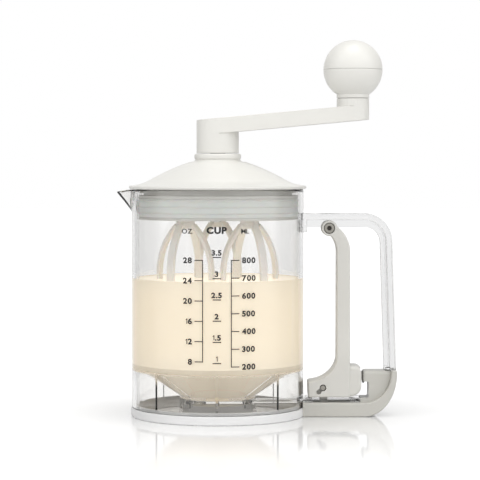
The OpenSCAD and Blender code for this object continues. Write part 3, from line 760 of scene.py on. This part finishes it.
def crank():
    """Hub, sloping arm and post as one moulding: flat sides tangent to both round ends."""
    steps = 64
    lean = acos((HUB_R - POST_R) / CRANK_REACH)

    def ring(cx, radius, start, end):
        return [(cx + radius * cos(start + (end - start) * i / steps),
                 radius * sin(start + (end - start) * i / steps)) for i in range(steps + 1)]

    def under(x):
        return ARM_LOW + x * ARM_SLOPE

    def over(x):
        return under(x) + ARM_T

    hub_back = ring(0, HUB_R, lean, 2 * pi - lean)
    hub_front = ring(0, HUB_R, -lean, lean)
    post_far = ring(CRANK_REACH, POST_R, -lean, lean)
    post_near = ring(CRANK_REACH, POST_R, lean, 2 * pi - lean)
    points = []
    faces = []

    def row(plan, height):
        first = len(points)
        points.extend((x, y, height(x)) for x, y in plan)
        return list(range(first, len(points)))

    def wall(lower, upper, mids=(None, None)):
        last = len(lower) - 2
        for k in range(last + 1):
            face = [lower[k], lower[k + 1], upper[k + 1], upper[k]]
            if k == last and mids[1] is not None:
                face.insert(2, mids[1])
            if k == 0 and mids[0] is not None:
                face.append(mids[0])
            faces.append(face)

    def floor(x):
        return HUB_LOW

    def summit(x):
        return POST_TOP

    back_floor, back_top = row(hub_back, floor), row(hub_back, over)
    back_under = row([hub_back[0], hub_back[-1]], under)
    front_floor, front_under = row(hub_front, floor), row(hub_front, under)
    far_under, far_top = row(post_far, under), row(post_far, summit)
    far_over = row([post_far[0], post_far[-1]], over)
    near_over, near_top = row(post_near, over), row(post_near, summit)
    wall(back_floor, back_top, back_under)
    wall(front_floor, front_under)
    wall(far_under, far_top, far_over)
    wall(near_over, near_top)
    faces.append(back_floor[:-1] + front_floor[:-1])
    faces.append(far_top[:-1] + near_top[:-1])
    faces.append(back_top + near_over[::-1])
    faces.append(front_under + far_under[::-1])
    faces.append([back_under[0], back_top[0], far_over[1], far_under[-1]])
    faces.append([back_under[1], back_top[-1], far_over[0], far_under[0]])
    arm = make_object("crank_lever", points, faces)
    eased(arm, 0.45, 3, 28)
    return add_piece(arm, "crank", WHITE, ["crank_arm"])


def knob_half(name, outline, node):
    moved = turned(name, outline, centre=(CRANK_REACH, 0), steps=128)
    return add_piece(moved, "knob", WHITE, [node])


def knob():
    skin = 2.4
    low = POST_TOP + 0.2
    seam = 0.04
    shoulder = 90 - asin((POST_R + 0.1) / KNOB_R) * 180 / pi
    outer = arc(0, KNOB_Z, KNOB_R, -0.9, -shoulder, 40)
    inner = arc(0, KNOB_Z, KNOB_R - skin, -62, -2, 24)
    lower = [(KNOB_R - 0.25, KNOB_Z - seam), (KNOB_R - 0.08, KNOB_Z - seam - 0.06)] + outer
    lower += [(POST_R + 0.1, low + 0.5), (POST_R - 0.05, low + 0.15), (POST_R - 0.4, low)]
    lower += [(4.1, low), (4.1, KNOB_Z - 9), (7.5, KNOB_Z - 9)]
    lower += inner + [(KNOB_R - skin, KNOB_Z - seam)]
    knob_half("knob_cup", lower, "knob_lower")
    crown = arc(0, KNOB_Z, KNOB_R, 0.9, 90, 48)[:-1] + [(0, KNOB_Z + KNOB_R)]
    hollow = arc(0, KNOB_Z, KNOB_R - skin, 90, 2, 30)[1:]
    upper = [(KNOB_R - 0.25, KNOB_Z + seam), (KNOB_R - 0.08, KNOB_Z + seam + 0.06)] + crown
    upper += [(0, KNOB_Z + KNOB_R - skin)] + hollow + [(KNOB_R - skin, KNOB_Z + seam)]
    knob_half("knob_cap", upper, "knob_upper")


# ---------- whisks ----------

def whisk_side():
    """The middle line of one side of a whisk's loop, from the hub down to the lowest point."""
    mid = WHISK_R - STRIP_T / 2
    drop = 29.5
    shoulder = WHISK_TOP - drop
    bend = 43.6
    lean = asin(drop / bend) * 180 / pi
    belly = 22
    upper = arc(mid - bend, shoulder, bend, lean, 0, 16)
    lower = oval(0, WHISK_LOW + STRIP_T / 2 + belly, mid, belly, 0, -90, 18)
    return [(upper[0][0] - 1.4, upper[0][1] + 1.6)] + upper + lower


def strip_section(centre, along, half_w, half_t):
    """A strip's rounded section, across its own line."""
    normal = Vector((along.z, 0, -along.x))
    side = Vector((0, 1, 0))
    ring = rounded(rectangle(-half_w, -half_t, half_w, half_t), 0.75, 3)
    return [centre + side * a + normal * b for a, b in ring]


def whisk_loop():
    right = whisk_side()
    line = right + [(-x, z) for x, z in reversed(right[:-1])]
    path = [Vector((x, 0, z)) for x, z in line]
    stations = []
    for i, point in enumerate(path):
        before = path[max(i - 1, 0)]
        after = path[min(i + 1, len(path) - 1)]
        stations.append(strip_section(point, (after - before).normalized(), STRIP_W / 2, STRIP_T / 2))
    return swept("strip", stations, closed=False)


def whisk(index, body):
    first = whisk_loop()
    second = whisk_loop()
    second.data.transform(Matrix.Rotation(pi / 2, 4, "Z"))
    high = DRUM_LOW - 0.2
    groove = DRUM_LOW - 1.7
    hub = block("hub", (-5.25, -5.25, WHISK_TOP - 0.8), (5.25, 5.25, groove))
    eased(hub, 0.7, 3)
    neck = block("neck", (-4.8, -4.8, groove - 1), (4.8, 4.8, high - 0.5))
    cap = block("cap", (-5.25, -5.25, groove + 0.4), (5.25, 5.25, high))
    eased(cap, 0.35, 3)
    joined(hub, neck, cap)
    hub.data.transform(Matrix.Rotation(radians(45), 4, "Z"))
    foot = turned("foot", rounded([(0, WHISK_LOW - 0.6), (4.2, WHISK_LOW - 0.6), (4.2, WHISK_LOW + 3.4),
                                   (0, WHISK_LOW + 3.4)], [0, 0.9, 0.9, 0]), steps=48)
    joined(hub, first, second, foot)
    angle = radians(WHISK_ANGLES[index])
    hub.data.transform(Matrix.Rotation(angle + radians(WHISK_PHASES[index]), 4, "Z"))
    hub.data.transform(Matrix.Translation((WHISK_RING * MM * cos(angle), WHISK_RING * MM * sin(angle), 0)))
    hub.name = f"beater_{index + 1}"
    return add_piece(hub, body, NYLON, [f"whisk_{index + 1}"])


# ---------- handle ----------

def handle_station(point, inward, depth):
    """The handle's section: a wide outer strip with a thin rib behind it."""
    strip = 4.2
    side = Vector((0, 1, 0))
    half = HANDLE_W / 2
    rib = RIB_W / 2
    outline = rounded([(-half, 0), (half, 0), (half, strip), (rib, strip), (rib, depth),
                       (-rib, depth), (-rib, strip), (-half, strip)],
                      [0.9, 0.9, 0.7, 0.7, 0.8, 0.8, 0.7, 0.7], 3)
    return [point + side * a + inward * b for a, b in outline]


def handle_loop():
    rib_top = 9.4
    rib_leg = 7.9
    stations = []
    for x in (JAR_R - 3, 65, 80):
        stations.append(handle_station(Vector((x, 0, HANDLE_TOP)), Vector((0, 0, -1)), rib_top))
    steps = 18
    lean = atan2(LEG_LEAN, HANDLE_TOP - CORNER_R - LEG_LOW)
    for i in range(steps + 1):
        a = pi / 2 - pi / 2 * i / steps
        out = Vector((cos(a), 0, sin(a)))
        centre = Vector((CORNER_X, 0, HANDLE_TOP - CORNER_R))
        depth = rib_top + (rib_leg - rib_top) * i / steps
        stations.append(handle_station(centre + out * CORNER_R, -out, depth))
    foot = Vector((LEG_X, 0, LEG_LOW))
    inward = Vector((-cos(lean), 0, -sin(lean)))
    stations.append(handle_station(foot, inward, rib_leg))
    loop = swept("clear_handle", stations, closed=False)
    root = block("root", (JAR_R - 3, -HANDLE_W / 2, HANDLE_TOP - 12.5),
                 (JAR_R + 2, HANDLE_W / 2, HANDLE_TOP - 1))
    eased(root, 0.5)
    boss = rod("boss", (PIVOT_X, -RIB_W / 2 + 0.01, PIVOT_Z), (PIVOT_X, RIB_W / 2 - 0.01, PIVOT_Z), 5.3)
    tongue = block("tongue", (LEG_X - 7, -6.5, 18.2), (LEG_X - 2.8, 6.5, LEG_LOW + 1.5))
    eased(tongue, 0.6)
    joined(loop, root, boss, tongue)
    cut(loop, rod("bore", (0, 0, 100), (0, 0, HANDLE_TOP + 5), JAR_R + 0.06, 288),
        rod("hole", (PIVOT_X, -12, PIVOT_Z), (PIVOT_X, 12, PIVOT_Z), 2.47),
        rod("hole", (SCREW_X, -10, SCREW_Z), (SCREW_X, 10, SCREW_Z), 1.3, 24))
    return add_piece(loop, "jar", CLEAR_HANDLE, ["handle_loop"])


def base_housing():
    centre = (95.7, 28.5)
    outer = oval(*centre, 21.3, 28.5, -90, 0, 28)
    inner = oval(*centre, 17.5, 28.5 - BAR_TOP, 0, -90, 24)
    shell = prism("base_housing", [(JAR_R - 2, 0)] + outer + [(LEG_X + 0.1, LEG_LOW), (LEG_X - 3.4, LEG_LOW)]
                  + inner + [(JAR_R - 2, BAR_TOP)], -BASE_W / 2, BASE_W / 2)
    eased(shell, 1.1, 4)
    top = 29.8
    body = prism("body", [(94.6, 7), (94.6, top), (LEG_X - 2.3, top), (LEG_X - 2.3, 24), (108, 10), (104, 7)],
                 -BLOCK_W / 2, BLOCK_W / 2)
    eased(body, 2.2, 5, 50)
    ledge = block("ledge", (93.2, -BLOCK_W / 2, 7), (99, BLOCK_W / 2, 12.1))
    notch = prism("notch", rounded(rectangle(90, 12.1, 98.6, 22.8), [0, 0.8, 0.8, 0]), -BLOCK_W, BLOCK_W)
    cut(body, notch)
    joined(body, ledge)
    for part in (shell, body):
        cut(part,
            rod("ring", (0, 0, -1), (0, 0, BAR_TOP + 3), RING_R + 0.08, 288),
            block("way", (JAR_R - 4, -5.3, SLIDE_Z - 0.3), (105, 5.3, SLIDE_Z + SLIDE_T + 0.3)),
            rod("spring_bore", (93, 0, SPRING_Z), (107.5, 0, SPRING_Z), 4.2),
            block("socket", (LEG_X - 7.1, -6.6, 18), (LEG_X - 2.7, 6.6, LEG_LOW + 1)),
            block("recess", (60, -9, -1), (92, 9, 2)),
            rod("screw_well", (SCREW_X, BLOCK_W / 2 - 1.6, SCREW_Z), (SCREW_X, BASE_W, SCREW_Z), 2.7, 32))
    joined(shell, body)
    tongue = block("tongue", (JAR_R - 5.5, -8, 1.2), (JAR_R + 4, 8, 4.8))
    joined(shell, tongue)
    # The housing gets the darker copy of the grey-white plastic: painted shade.
    return add_piece(shell, "jar", HOUSING_GREY_PAINTED_SHADE, ["handle_base"])


def guides():
    parts = []
    for x0, x1 in ((RING_R + 0.4, 62.0), (86.6, 93.1)):
        guide = block("guide", (x0, -8, BAR_TOP), (x1, 8, 12.0))
        eased(guide, 0.5)
        cut(guide, block("way", (x0 - 1, -5.3, BAR_TOP - 1), (x1 + 1, 5.3, SLIDE_Z + SLIDE_T + 0.25)))
        parts.append(guide)
    both = merge("guide_blocks", parts)
    return add_piece(both, "jar", CLEAR, ["slide_guides"])


def pivot_screw_piece():
    outline = [(0, 0), (2.45, 0), (2.45, 15.4), (3.4, 15.4), (3.4, 17.2), (0, 17.2)]
    head = turned("pivot_bolt", rounded(outline, [0, 0.3, 0.1, 0.2, 0.5, 0]), steps=64)
    hexagon = turned("socket", [(0, 14.9), (1.7, 14.9), (1.7, 18), (0, 18)], steps=6)
    cut(head, hexagon)
    head.data.transform(Matrix.Translation((0, 0, -8.7 * MM)))
    head.data.transform(Matrix.Rotation(pi / 2, 4, "X"))
    head.data.transform(Matrix.Translation((PIVOT_X * MM, 0, PIVOT_Z * MM)))
    add_piece(head, "jar", DARK_STEEL, ["pivot_screw"])
    depth = -STEM_W / 2 + PIVOT_SINK
    floor = rod("socket_floor", (PIVOT_X, depth - 0.9, PIVOT_Z), (PIVOT_X, depth - 0.05, PIVOT_Z), 1.62, 6)
    add_piece(floor, "jar", SHADOWED_STEEL, [])


def coil_spring():
    """The return spring: a helix with closed end turns, from the trigger's foot into the housing."""
    x0 = box_mm("return_spring")[0].x
    x1 = box_mm("return_spring")[1].x
    radius = 3.2
    wire = 0.45
    turns = 7
    sides = 10
    steps = turns * 28
    along = Vector((1, 0, 0))
    dead = 1.2
    live = x1 - x0 - 2 * wire
    stations = []
    for i in range(steps + 1):
        t = i / steps * turns
        share = min(max((t - dead) / (turns - 2 * dead), 0), 1)
        creep = wire * 1.6 * (min(t, dead) / dead + max(t - turns + dead, 0) / dead)
        x = x0 + wire + creep + (live - 3.2 * wire) * share
        a = t * 2 * pi
        out = Vector((0, cos(a), sin(a)))
        centre = Vector((x, radius * cos(a), SPRING_Z + radius * sin(a)))
        section = []
        for k in range(sides):
            b = 2 * pi * k / sides
            section.append(centre + out * (wire * cos(b)) + along * (wire * sin(b)))
        stations.append(section)
    spring = swept("coil_spring", stations, closed=False)
    fixed_end = (105.5 * MM, 0, SPRING_Z * MM)
    moving_end = (83.0 * MM, 0, SPRING_Z * MM)
    return add_piece(spring, "jar", SPRING_STEEL, ["return_spring"],
                     bend=("trigger", fixed_end, moving_end))


# ---------- trigger and valve slide ----------

def stem():
    """The lever's stem: straight, then curving over to its pivot, and flaring out to the foot's width."""
    stations = []

    def across(left, right, half):
        middle = Vector(((left[0] + right[0]) / 2, 0, (left[1] + right[1]) / 2))
        along = Vector((right[0] - left[0], 0, right[1] - left[1]))
        reach = along.length / 2
        ring = rounded(rectangle(-reach, -half, reach, half), 1.0, 4)
        stations.append([middle + along.normalized() * a + Vector((0, b, 0)) for a, b in ring])

    flare_low, flare_high = 38.0, 62.0
    for i in range(13):
        z = flare_low + (flare_high - flare_low) * i / 12
        ease = i / 12
        ease = ease * ease * (3 - 2 * ease)
        across((STEM_LEFT, z), (STEM_RIGHT, z), (FOOT_W - (FOOT_W - STEM_W) * ease) / 2)
    bend_z = 107.6
    left = arc(STEM_LEFT - 15.5, bend_z, 15.5, 0, 50, 20)
    right = arc(STEM_RIGHT - 20.2, bend_z, 20.2, 0, 72, 20)
    for inner, outer in zip(left, right):
        across(inner, outer, STEM_W / 2)
    return swept("stem", stations, closed=False)


def trigger():
    boss = rod("boss", (PIVOT_X, -STEM_W / 2, PIVOT_Z), (PIVOT_X, STEM_W / 2, PIVOT_Z), 5.1, 72)
    eased(boss, 0.7, 4)
    foot = prism("foot", [(59.2, FOOT_LOW), (58.8, 22.6)]
                 + oval(58.8, 39.5, STEM_LEFT - 58.8, 16.5, -84, -2, 18)
                 + [(STEM_RIGHT, 39.5), (STEM_RIGHT, FOOT_LOW)], -FOOT_W / 2, FOOT_W / 2)
    eased(foot, 1.0, 4)
    lobe_half = FOOT_W / 2 - 0.9
    lobe = prism("lobe", [(80, FOOT_LOW), (80, 33.3)] + arc(89.6, 28.3, 5, 90, 0, 12)
                 + arc(87.2, FOOT_LOW + 7.4, 7.4, 0, -90, 14), -lobe_half, lobe_half)
    eased(lobe, 2.6, 6, 40)
    joined(foot, lobe, stem(), boss)
    rib = RIB_W / 2 + 0.4
    cut(foot,
        block("rib_slot", (60, -rib, PIVOT_Z - 6.5), (92, rib, HANDLE_TOP)),
        rod("pivot", (PIVOT_X, -20, PIVOT_Z), (PIVOT_X, 20, PIVOT_Z), 2.5),
        rod("head_well", (PIVOT_X, -20, PIVOT_Z), (PIVOT_X, -STEM_W / 2 + PIVOT_SINK, PIVOT_Z), 3.7),
        rod("nut_well", (PIVOT_X, STEM_W / 2 - PIVOT_SINK, PIVOT_Z), (PIVOT_X, 20, PIVOT_Z), 3.7),
        block("lug_slot", (63.5, -5, FOOT_LOW - 2), (75.5, 5, 21.8)),
        block("block_slot", (81, -BLOCK_W / 2 - 0.6, FOOT_LOW - 2), (98, BLOCK_W / 2 + 0.6, 31.3)),
        keyhole())
    foot.name = "trigger_lever"
    return add_piece(foot, "trigger", WARM_GREY, ["trigger"])


def keyhole():
    """The peg's hole, with a slanting tail on the near side that lets the peg in."""
    hole = rod("keyhole", (PEG_X, -20, PEG_Z), (PEG_X, 20, PEG_Z), 2.2, 40)
    end = rod("end", (PEG_X - 2.7, -20, PEG_Z - 2.7), (PEG_X - 2.7, -6, PEG_Z - 2.7), 1.6, 32)
    tail = block("tail", (-1.2, -10, -2.0), (1.2, 4, 2.0))
    tail.data.transform(Matrix.Rotation(radians(45), 4, "Y"))
    tail.data.transform(Matrix.Translation(((PEG_X - 1.35) * MM, -10 * MM, (PEG_Z - 1.35) * MM)))
    return joined(hole, end, tail)


def slide():
    high = SLIDE_Z + SLIDE_T
    travel = 12.5
    plate = block("slide_plate", (-OUTLET_R - travel - 3, -SLIDE_W / 2, SLIDE_Z), (20, SLIDE_W / 2, high))
    eased(plate, 0.3)
    strip = block("strip", (19, -SLIDE_STRIP_W / 2, SLIDE_Z), (90, SLIDE_STRIP_W / 2, high))
    eased(strip, 0.3)
    joined(plate, strip)
    cut(plate, rod("port", (-travel, 0, 0), (-travel, 0, 20), OUTLET_R, 72),
        block("lug_hole", (66.9, -3, SLIDE_Z - 1), (72, 3, high + 1)))
    return add_piece(plate, "slide", CLEAR, ["valve_slide"])


# ---------- stage ----------

def batter():
    """Batter, a staged prop. It wets the jar's wall, so it reaches a hair into it. Its top glows most."""
    level = 89.8
    wet = 0.25
    outline = [(0, OUTLET_Z - 0.6), (OUTLET_R + wet, OUTLET_Z - 0.6),
               (OUTLET_R + wet, OUTLET_Z + FLOOR_T - wet),
               (TOWER_R - 0.5, FUNNEL_BEND - wet), (JAR_IN + wet, FUNNEL_TOP - wet),
               (JAR_IN + wet, level + 0.7),
               (JAR_IN - 0.4, level + 0.25), (JAR_IN - 1.6, level), (0, level)]
    pool = turned("batter_prop", outline, steps=144)
    made, tree, shader = new_material("batter")
    vary_colour(tree, shader, (0.96, 0.87, 0.71), 0.97, 9)
    add_bumps(tree, shader, [(2.2, 0.05)])
    shader.inputs["Roughness"].default_value = 0.35
    shader.inputs["Emission Color"].default_value = (1.0, 0.88, 0.70, 1)
    facing = tree.nodes.new("ShaderNodeNewGeometry")
    upward = tree.nodes.new("ShaderNodeSeparateXYZ")
    glow = tree.nodes.new("ShaderNodeMapRange")
    glow.inputs["To Min"].default_value = 0.24
    glow.inputs["To Max"].default_value = 0.5
    tree.links.new(facing.outputs["True Normal"], upward.inputs["Vector"])
    tree.links.new(upward.outputs["Z"], glow.inputs["Value"])
    tree.links.new(glow.outputs["Result"], shader.inputs["Emission Strength"])
    finish_surface(pool)
    pool.data.materials.append(made)


def table():
    """A glossy white table, with a glow for the camera and for what is seen through clear plastic."""
    size = 6000
    top = make_object("table_top", [(-size, -size, -0.02), (size, -size, -0.02), (size, size, -0.02),
                                    (-size, size, -0.02)], [[0, 1, 2, 3]])
    made, tree, shader = new_material("white_table")
    vary_colour(tree, shader, (0.82, 0.82, 0.82), 0.99, 60)
    shader.inputs["Roughness"].default_value = 0.07
    shader.inputs["Specular IOR Level"].default_value = 0.5
    shader.inputs["Emission Color"].default_value = (1, 1, 1, 1)
    path = tree.nodes.new("ShaderNodeLightPath")

    def by_distance(centre, stops):
        """A level that changes evenly between two distances from a centre, in millimetres."""
        away = tree.nodes.new("ShaderNodeVectorMath")
        away.operation = "DISTANCE"
        away.inputs[1].default_value = [c * MM for c in centre]
        place = tree.nodes.new("ShaderNodeTexCoord")
        tree.links.new(place.outputs["Object"], away.inputs[0])
        level = tree.nodes.new("ShaderNodeMapRange")
        level.inputs["From Min"].default_value = stops[0][0] * MM
        level.inputs["To Min"].default_value = stops[0][1]
        level.inputs["From Max"].default_value = stops[1][0] * MM
        level.inputs["To Max"].default_value = stops[1][1]
        tree.links.new(away.outputs["Value"], level.inputs["Value"])
        return level.outputs["Result"]

    open_table = by_distance((30, 0, 0), [(60, 0.03), (200, 0.32)])
    near_jar = by_distance((0, 0, 0), [(230, 0.17), (330, 0.0)])
    through = tree.nodes.new("ShaderNodeMath")
    through.operation = "MULTIPLY"
    tree.links.new(path.outputs["Is Transmission Ray"], through.inputs[0])
    tree.links.new(near_jar, through.inputs[1])
    glow = tree.nodes.new("ShaderNodeMath")
    glow.operation = "MULTIPLY_ADD"
    tree.links.new(path.outputs["Is Camera Ray"], glow.inputs[0])
    tree.links.new(open_table, glow.inputs[1])
    tree.links.new(through.outputs["Value"], glow.inputs[2])
    tree.links.new(glow.outputs["Value"], shader.inputs["Emission Strength"])
    top.data.materials.append(made)


def ramp(tree, source, stops):
    node = tree.nodes.new("ShaderNodeValToRGB")
    while len(node.color_ramp.elements) < len(stops):
        node.color_ramp.elements.new(0.5)
    for element, (place, value) in zip(node.color_ramp.elements, stops):
        element.position = place
        element.color = (value, value, value, 1)
    tree.links.new(source, node.inputs["Fac"])
    return node.outputs["Color"]


def studio():
    """A room that the camera sees as plain white.

    Its light comes mostly from the front. It is dimmer behind, and darkest behind on the left and right,
    so that clear edges show.
    """
    world = bpy.data.worlds.new("studio")
    world.use_nodes = True
    tree = world.node_tree
    bpy.context.scene.world = world
    out = tree.nodes["World Output"]
    seen = tree.nodes["Background"]
    lit = tree.nodes.new("ShaderNodeBackground")
    seen.inputs["Color"].default_value = (1, 1, 1, 1)
    direction = tree.nodes.new("ShaderNodeTexCoord")
    parts = tree.nodes.new("ShaderNodeSeparateXYZ")
    tree.links.new(direction.outputs["Generated"], parts.inputs["Vector"])
    axes = {}
    for axis in "XYZ":
        spread = tree.nodes.new("ShaderNodeMapRange")
        spread.inputs["From Min"].default_value = -1.0
        spread.inputs["From Max"].default_value = 1.0
        tree.links.new(parts.outputs[axis], spread.inputs["Value"])
        axes[axis] = spread.outputs["Result"]

    def times(first, second):
        both = tree.nodes.new("ShaderNodeMix")
        both.data_type = "RGBA"
        both.blend_type = "MULTIPLY"
        both.inputs[0].default_value = 1.0
        tree.links.new(first, both.inputs[6])
        tree.links.new(second, both.inputs[7])
        return both.outputs[2]

    def shaded(amount, mask):
        dark = tree.nodes.new("ShaderNodeMapRange")
        dark.inputs["To Min"].default_value = 1.0
        dark.inputs["To Max"].default_value = 1.0 - amount
        tree.links.new(mask, dark.inputs["Value"])
        return dark.outputs["Result"]

    behind = ramp(tree, axes["Y"], [(0.42, 0.0), (0.55, 1.0)])
    above = ramp(tree, axes["Z"], [(0.66, 0.0), (0.82, 1.0)])
    front = ramp(tree, axes["X"], [(0.0, 0.7), (0.14, 0.93), (0.36, 0.72), (0.5, 0.58), (0.64, 0.75),
                                   (0.86, 1.0), (1.0, 0.88)])
    back = ramp(tree, axes["X"], [(0.0, 0.12), (0.14, 0.14), (0.28, 0.5), (0.72, 0.5), (0.86, 0.16),
                                  (1.0, 0.14)])
    total = tree.nodes.new("ShaderNodeMix")
    total.data_type = "RGBA"
    tree.links.new(behind, total.inputs[0])
    tree.links.new(front, total.inputs[6])
    tree.links.new(back, total.inputs[7])
    total = times(total.outputs[2], shaded(0.45, times(behind, above)))
    tree.links.new(total, lit.inputs["Color"])
    lit.inputs["Strength"].default_value = 1.82
    path = tree.nodes.new("ShaderNodeLightPath")
    choose = tree.nodes.new("ShaderNodeMixShader")
    tree.links.new(path.outputs["Is Camera Ray"], choose.inputs[0])
    tree.links.new(lit.outputs["Background"], choose.inputs[1])
    tree.links.new(seen.outputs["Background"], choose.inputs[2])
    tree.links.new(choose.outputs["Shader"], out.inputs["Surface"])


def add_lamp(name, place, aim, size, power):
    data = bpy.data.lights.new(name, "AREA")
    data.shape = "RECTANGLE"
    data.size, data.size_y = size
    data.energy = power
    lamp = bpy.data.objects.new(name, data)
    bpy.context.scene.collection.objects.link(lamp)
    lamp.location = place
    lamp.rotation_euler = (Vector(aim) - Vector(place)).to_track_quat("-Z", "Y").to_euler()
    return lamp


def add_camera():
    data = bpy.data.cameras.new("camera")
    data.sensor_width = 36
    data.lens = 146.25
    camera = bpy.data.objects.new("camera", data)
    bpy.context.scene.collection.objects.link(camera)
    middle_x = 0.0146
    camera.location = (middle_x, -1.277, 0.164)
    aim = Vector((middle_x, 0, 0.115))
    camera.rotation_euler = (aim - camera.location).to_track_quat("-Z", "Y").to_euler()
    bpy.context.scene.camera = camera


# ---------- the whole ----------

dress_cad_nodes()
jar_vessel()
stand_ring()
printed_scale()
dome()
collar()
drum()
gasket()
crank()
knob()
for number, letter in enumerate("abc"):
    whisk(number, f"whisk_{letter}")
handle_loop()
base_housing()
guides()
pivot_screw_piece()
coil_spring()
trigger()
slide()
batter()
table()
studio()
add_lamp("overhead", place=(0.1, -0.05, 1.3), aim=(0.05, 0, 0.1), size=(0.6, 0.6), power=3)
add_camera()
bpy.context.scene.view_settings.view_transform = "Standard"
